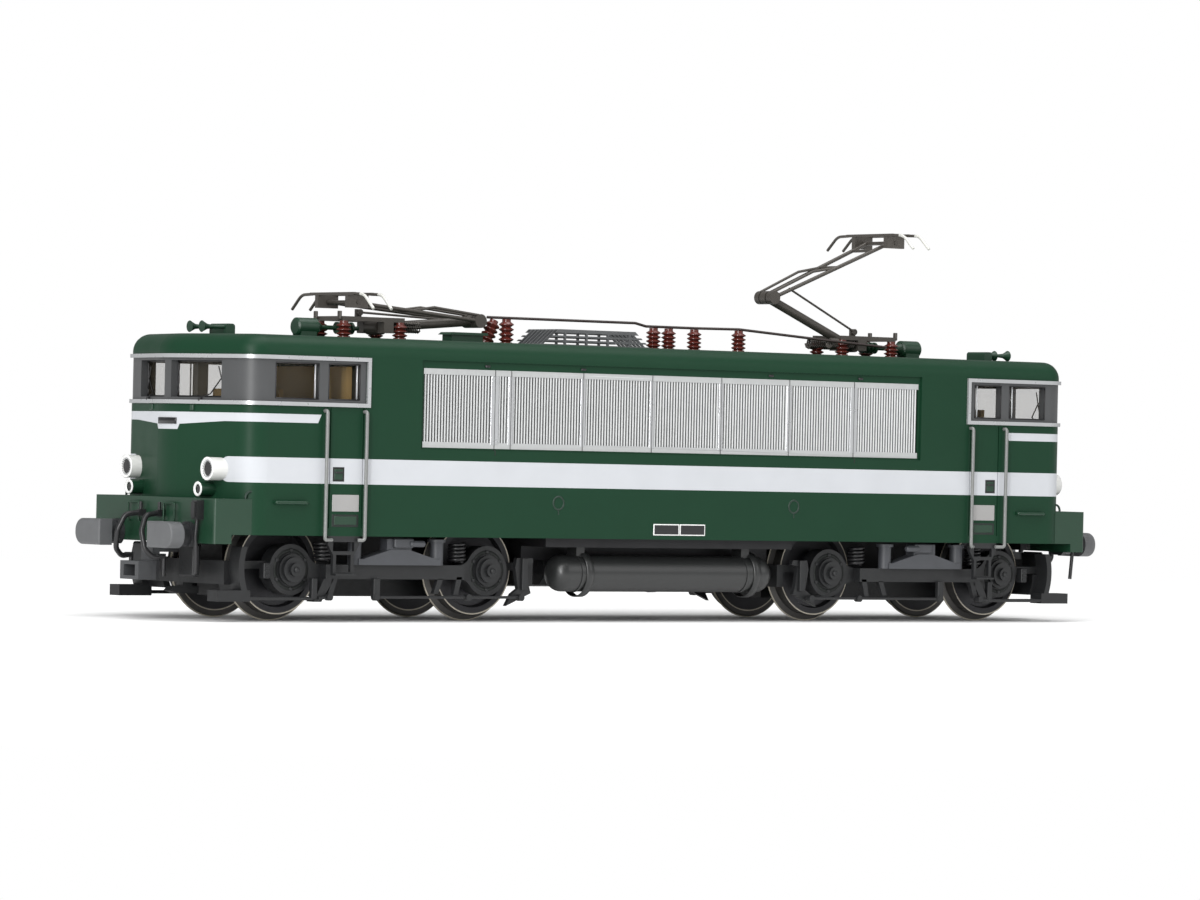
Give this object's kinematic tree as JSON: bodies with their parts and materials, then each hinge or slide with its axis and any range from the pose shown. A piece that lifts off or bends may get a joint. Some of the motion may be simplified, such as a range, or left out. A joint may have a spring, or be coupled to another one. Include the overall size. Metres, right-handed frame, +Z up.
{
  "type": "model electric locomotive",
  "caption": "Four-axle model electric locomotive with a geared drive in swivelling bogies, jointed couplers and two folding single-arm pantographs.",
  "frame": {"origin": "centre of the locomotive at the underside of the wheel flanges", "axes": "+X along the locomotive towards the end with the raised pantograph, +Y across it, +Z up"},
  "size_m": [0.186, 0.0372, 0.0643],
  "materials": {
    "green_shell": "painted dark green plastic, satin",
    "louvre_grey": "silver-grey paint, satin",
    "band_grey": "mid grey plastic",
    "trim_silver": "silver paint",
    "clear_glazing": "clear moulded plastic",
    "cab_beige": "beige plastic",
    "frame_grey": "dark blue-grey plastic",
    "buffer_grey": "mid grey plastic",
    "lamp_white": "white plastic",
    "lamp_lens": "clear plastic light guide",
    "hose_black": "black plastic",
    "wire_steel": "painted steel wire",
    "cast_zinc": "die-cast zinc, blackened",
    "board_green": "lacquered circuit board",
    "motor_steel": "plated steel can",
    "insulator_brown": "red-brown gloss",
    "horn_metal": "grey paint",
    "panto_grey": "grey-brown lacquered metal",
    "flywheel_brass": "turned brass",
    "wheel_steel": "blackened wheel with a bright tread",
    "gear_plastic": "natural acetal",
    "spring_grey": "grey plastic",
    "coupler_grey": "light grey plastic"
  },
  "bodies": {
    "locomotive": {"air_reservoirs": "frame_grey", "body_shell": "green_shell", "brake_hoses": "hose_black", "buffer_beams": "frame_grey", "buffers": "buffer_grey", "cab_interiors": "cab_beige", "cab_steps": "frame_grey", "chassis_frame": "cast_zinc", "circuit_board": "board_green", "equipment_boxes": "frame_grey", "glazing": "clear_glazing", "handrails": "wire_steel", "lamp_housings": "lamp_white", "lamp_lenses": "lamp_lens", "louvre_panels": "louvre_grey", "motor_housing": "motor_steel", "pantograph_bases": "panto_grey", "pantograph_drives": "panto_grey", "roof_cable": "insulator_brown", "roof_grille": "wire_steel", "roof_insulators": "insulator_brown", "roof_ventilator": "green_shell", "twin_horns": "horn_metal", "window_bands": "band_grey", "window_trims": "trim_silver"},
    "motor_shaft": {"motor_shaft": "flywheel_brass"},
    "bogie_1": {"bogie_gearbox_1": "frame_grey", "gearbox_cover_1": "frame_grey", "bogie_frame_1": "frame_grey", "suspension_1": "spring_grey", "brake_gear_1": "frame_grey"},
    "cardan_1": {"cardan_shaft_1": "frame_grey"},
    "worm_1": {"worm_shaft_1": "flywheel_brass"},
    "worm_wheel_1": {"worm_wheel_1": "gear_plastic"},
    "idler_outer_1": {"idler_gear_outer_1": "gear_plastic"},
    "wheels_outer_1": {"wheelset_outer_1": "wheel_steel"},
    "idler_inner_1": {"idler_gear_inner_1": "gear_plastic"},
    "wheels_inner_1": {"wheelset_inner_1": "wheel_steel"},
    "coupler_1": {"coupler_1": "coupler_grey"},
    "pantograph_lower_arm_1": {"pantograph_lower_arm_1": "panto_grey"},
    "pantograph_upper_arm_1": {"pantograph_upper_arm_1": "panto_grey"},
    "pantograph_head_1": {"pantograph_head_1": "panto_grey"},
    "pantograph_control_rod_1": {"pantograph_control_rod_1": "panto_grey"},
    "bogie_2": {"bogie_gearbox_2": "frame_grey", "gearbox_cover_2": "frame_grey", "bogie_frame_2": "frame_grey", "suspension_2": "spring_grey", "brake_gear_2": "frame_grey"},
    "cardan_2": {"cardan_shaft_2": "frame_grey"},
    "worm_2": {"worm_shaft_2": "flywheel_brass"},
    "worm_wheel_2": {"worm_wheel_2": "gear_plastic"},
    "idler_outer_2": {"idler_gear_outer_2": "gear_plastic"},
    "wheels_outer_2": {"wheelset_outer_2": "wheel_steel"},
    "idler_inner_2": {"idler_gear_inner_2": "gear_plastic"},
    "wheels_inner_2": {"wheelset_inner_2": "wheel_steel"},
    "coupler_2": {"coupler_2": "coupler_grey"},
    "pantograph_lower_arm_2": {"pantograph_lower_arm_2": "panto_grey"},
    "pantograph_upper_arm_2": {"pantograph_upper_arm_2": "panto_grey"},
    "pantograph_head_2": {"pantograph_head_2": "panto_grey"},
    "pantograph_control_rod_2": {"pantograph_control_rod_2": "panto_grey"}
  },
  "joints": [
    {"name": "motor_spin", "type": "hinge", "parent": "locomotive", "child": "motor_shaft", "pos_m": [0, 0, 0.01692], "axis": [1, 0, 0], "continuous": true},
    {"name": "bogie_1_swivel", "type": "hinge", "parent": "locomotive", "child": "bogie_1", "pos_m": [-0.05287, 0, 0.018], "axis": [0, 0, 1], "range_deg": [-8, 8]},
    {"name": "cardan_1_swing", "type": "hinge", "parent": "locomotive", "child": "cardan_1", "pos_m": [-0.0184, 0, 0.01692], "axis": [0, 0, 1], "range_deg": [-5.6, 5.6]},
    {"name": "worm_1_spin", "type": "hinge", "parent": "bogie_1", "child": "worm_1", "pos_m": [-0.05287, 0, 0.01692], "axis": [1, 0, 0], "continuous": true},
    {"name": "worm_wheel_1_spin", "type": "hinge", "parent": "bogie_1", "child": "worm_wheel_1", "pos_m": [-0.05287, 0, 0.01018], "axis": [0, 1, 0], "continuous": true},
    {"name": "idler_outer_1_spin", "type": "hinge", "parent": "bogie_1", "child": "idler_outer_1", "pos_m": [-0.06207, 0, 0.00919], "axis": [0, 1, 0], "continuous": true},
    {"name": "wheels_outer_1_spin", "type": "hinge", "parent": "bogie_1", "child": "wheels_outer_1", "pos_m": [-0.07126, 0, 0.00818], "axis": [0, 1, 0], "continuous": true},
    {"name": "idler_inner_1_spin", "type": "hinge", "parent": "bogie_1", "child": "idler_inner_1", "pos_m": [-0.04367, 0, 0.00919], "axis": [0, 1, 0], "continuous": true},
    {"name": "wheels_inner_1_spin", "type": "hinge", "parent": "bogie_1", "child": "wheels_inner_1", "pos_m": [-0.03448, 0, 0.00818], "axis": [0, 1, 0], "continuous": true},
    {"name": "coupler_1_swing", "type": "hinge", "parent": "locomotive", "child": "coupler_1", "pos_m": [-0.0809, 0, 0.0108], "axis": [0, 0, 1], "range_deg": [-8, 8], "stiffness_Nm_per_rad": 0.0002},
    {"name": "pantograph_1_lower_arm", "type": "hinge", "parent": "locomotive", "child": "pantograph_lower_arm_1", "pos_m": [-0.0472, 0, 0.0456], "axis": [0, -1, 0], "range_deg": [0, 38]},
    {"name": "pantograph_1_knee", "type": "hinge", "parent": "pantograph_lower_arm_1", "child": "pantograph_upper_arm_1", "pos_m": [-0.02827, 0, 0.04719], "axis": [0, -1, 0], "range_deg": [-76, 0]},
    {"name": "pantograph_1_head_tilt", "type": "hinge", "parent": "pantograph_upper_arm_1", "child": "pantograph_head_1", "pos_m": [-0.05368, 0, 0.04932], "axis": [0, -1, 0], "range_deg": [0, 38]},
    {"name": "pantograph_1_control_rod", "type": "hinge", "parent": "locomotive", "child": "pantograph_control_rod_1", "pos_m": [-0.0494, 0, 0.0479], "axis": [0, -1, 0], "range_deg": [0, 53.2]},
    {"name": "bogie_2_swivel", "type": "hinge", "parent": "locomotive", "child": "bogie_2", "pos_m": [0.05287, 0, 0.018], "axis": [0, 0, 1], "range_deg": [-8, 8]},
    {"name": "cardan_2_swing", "type": "hinge", "parent": "locomotive", "child": "cardan_2", "pos_m": [0.0184, 0, 0.01692], "axis": [0, 0, 1], "range_deg": [-5.6, 5.6]},
    {"name": "worm_2_spin", "type": "hinge", "parent": "bogie_2", "child": "worm_2", "pos_m": [0.05287, 0, 0.01692], "axis": [1, 0, 0], "continuous": true},
    {"name": "worm_wheel_2_spin", "type": "hinge", "parent": "bogie_2", "child": "worm_wheel_2", "pos_m": [0.05287, 0, 0.01018], "axis": [0, 1, 0], "continuous": true},
    {"name": "idler_outer_2_spin", "type": "hinge", "parent": "bogie_2", "child": "idler_outer_2", "pos_m": [0.06207, 0, 0.00919], "axis": [0, 1, 0], "continuous": true},
    {"name": "wheels_outer_2_spin", "type": "hinge", "parent": "bogie_2", "child": "wheels_outer_2", "pos_m": [0.07126, 0, 0.00818], "axis": [0, 1, 0], "continuous": true},
    {"name": "idler_inner_2_spin", "type": "hinge", "parent": "bogie_2", "child": "idler_inner_2", "pos_m": [0.04367, 0, 0.00919], "axis": [0, 1, 0], "continuous": true},
    {"name": "wheels_inner_2_spin", "type": "hinge", "parent": "bogie_2", "child": "wheels_inner_2", "pos_m": [0.03448, 0, 0.00818], "axis": [0, 1, 0], "continuous": true},
    {"name": "coupler_2_swing", "type": "hinge", "parent": "locomotive", "child": "coupler_2", "pos_m": [0.0809, 0, 0.0108], "axis": [0, 0, 1], "range_deg": [-8, 8], "stiffness_Nm_per_rad": 0.0002},
    {"name": "pantograph_2_lower_arm", "type": "hinge", "parent": "locomotive", "child": "pantograph_lower_arm_2", "pos_m": [0.0488, 0, 0.0456], "axis": [0, 1, 0], "range_deg": [-18, 20]},
    {"name": "pantograph_2_knee", "type": "hinge", "parent": "pantograph_lower_arm_2", "child": "pantograph_upper_arm_2", "pos_m": [0.03129, 0, 0.05296], "axis": [0, 1, 0], "range_deg": [-40, 36]},
    {"name": "pantograph_2_head_tilt", "type": "hinge", "parent": "pantograph_upper_arm_2", "child": "pantograph_head_2", "pos_m": [0.05479, 0, 0.06284], "axis": [0, 1, 0], "range_deg": [-18, 20]},
    {"name": "pantograph_2_control_rod", "type": "hinge", "parent": "locomotive", "child": "pantograph_control_rod_2", "pos_m": [0.051, 0, 0.0479], "axis": [0, 1, 0], "range_deg": [-25.2, 28]}
  ],
  "couplings": [
    {"joint": "cardan_1_swing", "follows": "bogie_1_swivel", "ratio": -0.6596},
    {"joint": "worm_1_spin", "follows": "motor_spin", "ratio": 1},
    {"joint": "worm_wheel_1_spin", "follows": "motor_spin", "ratio": 0.055556},
    {"joint": "idler_outer_1_spin", "follows": "motor_spin", "ratio": -0.052632},
    {"joint": "wheels_outer_1_spin", "follows": "motor_spin", "ratio": 0.055556},
    {"joint": "idler_inner_1_spin", "follows": "motor_spin", "ratio": -0.052632},
    {"joint": "wheels_inner_1_spin", "follows": "motor_spin", "ratio": 0.055556},
    {"joint": "pantograph_1_knee", "follows": "pantograph_1_lower_arm", "ratio": -2},
    {"joint": "pantograph_1_head_tilt", "follows": "pantograph_1_lower_arm", "ratio": 1},
    {"joint": "pantograph_1_control_rod", "follows": "pantograph_1_lower_arm", "ratio": 1.4},
    {"joint": "cardan_2_swing", "follows": "bogie_2_swivel", "ratio": -0.6596},
    {"joint": "worm_2_spin", "follows": "motor_spin", "ratio": 1},
    {"joint": "worm_wheel_2_spin", "follows": "motor_spin", "ratio": 0.055556},
    {"joint": "idler_outer_2_spin", "follows": "motor_spin", "ratio": -0.052632},
    {"joint": "wheels_outer_2_spin", "follows": "motor_spin", "ratio": 0.055556},
    {"joint": "idler_inner_2_spin", "follows": "motor_spin", "ratio": -0.052632},
    {"joint": "wheels_inner_2_spin", "follows": "motor_spin", "ratio": 0.055556},
    {"joint": "pantograph_2_knee", "follows": "pantograph_2_lower_arm", "ratio": -2},
    {"joint": "pantograph_2_head_tilt", "follows": "pantograph_2_lower_arm", "ratio": 1},
    {"joint": "pantograph_2_control_rod", "follows": "pantograph_2_lower_arm", "ratio": 1.4}
  ]
}
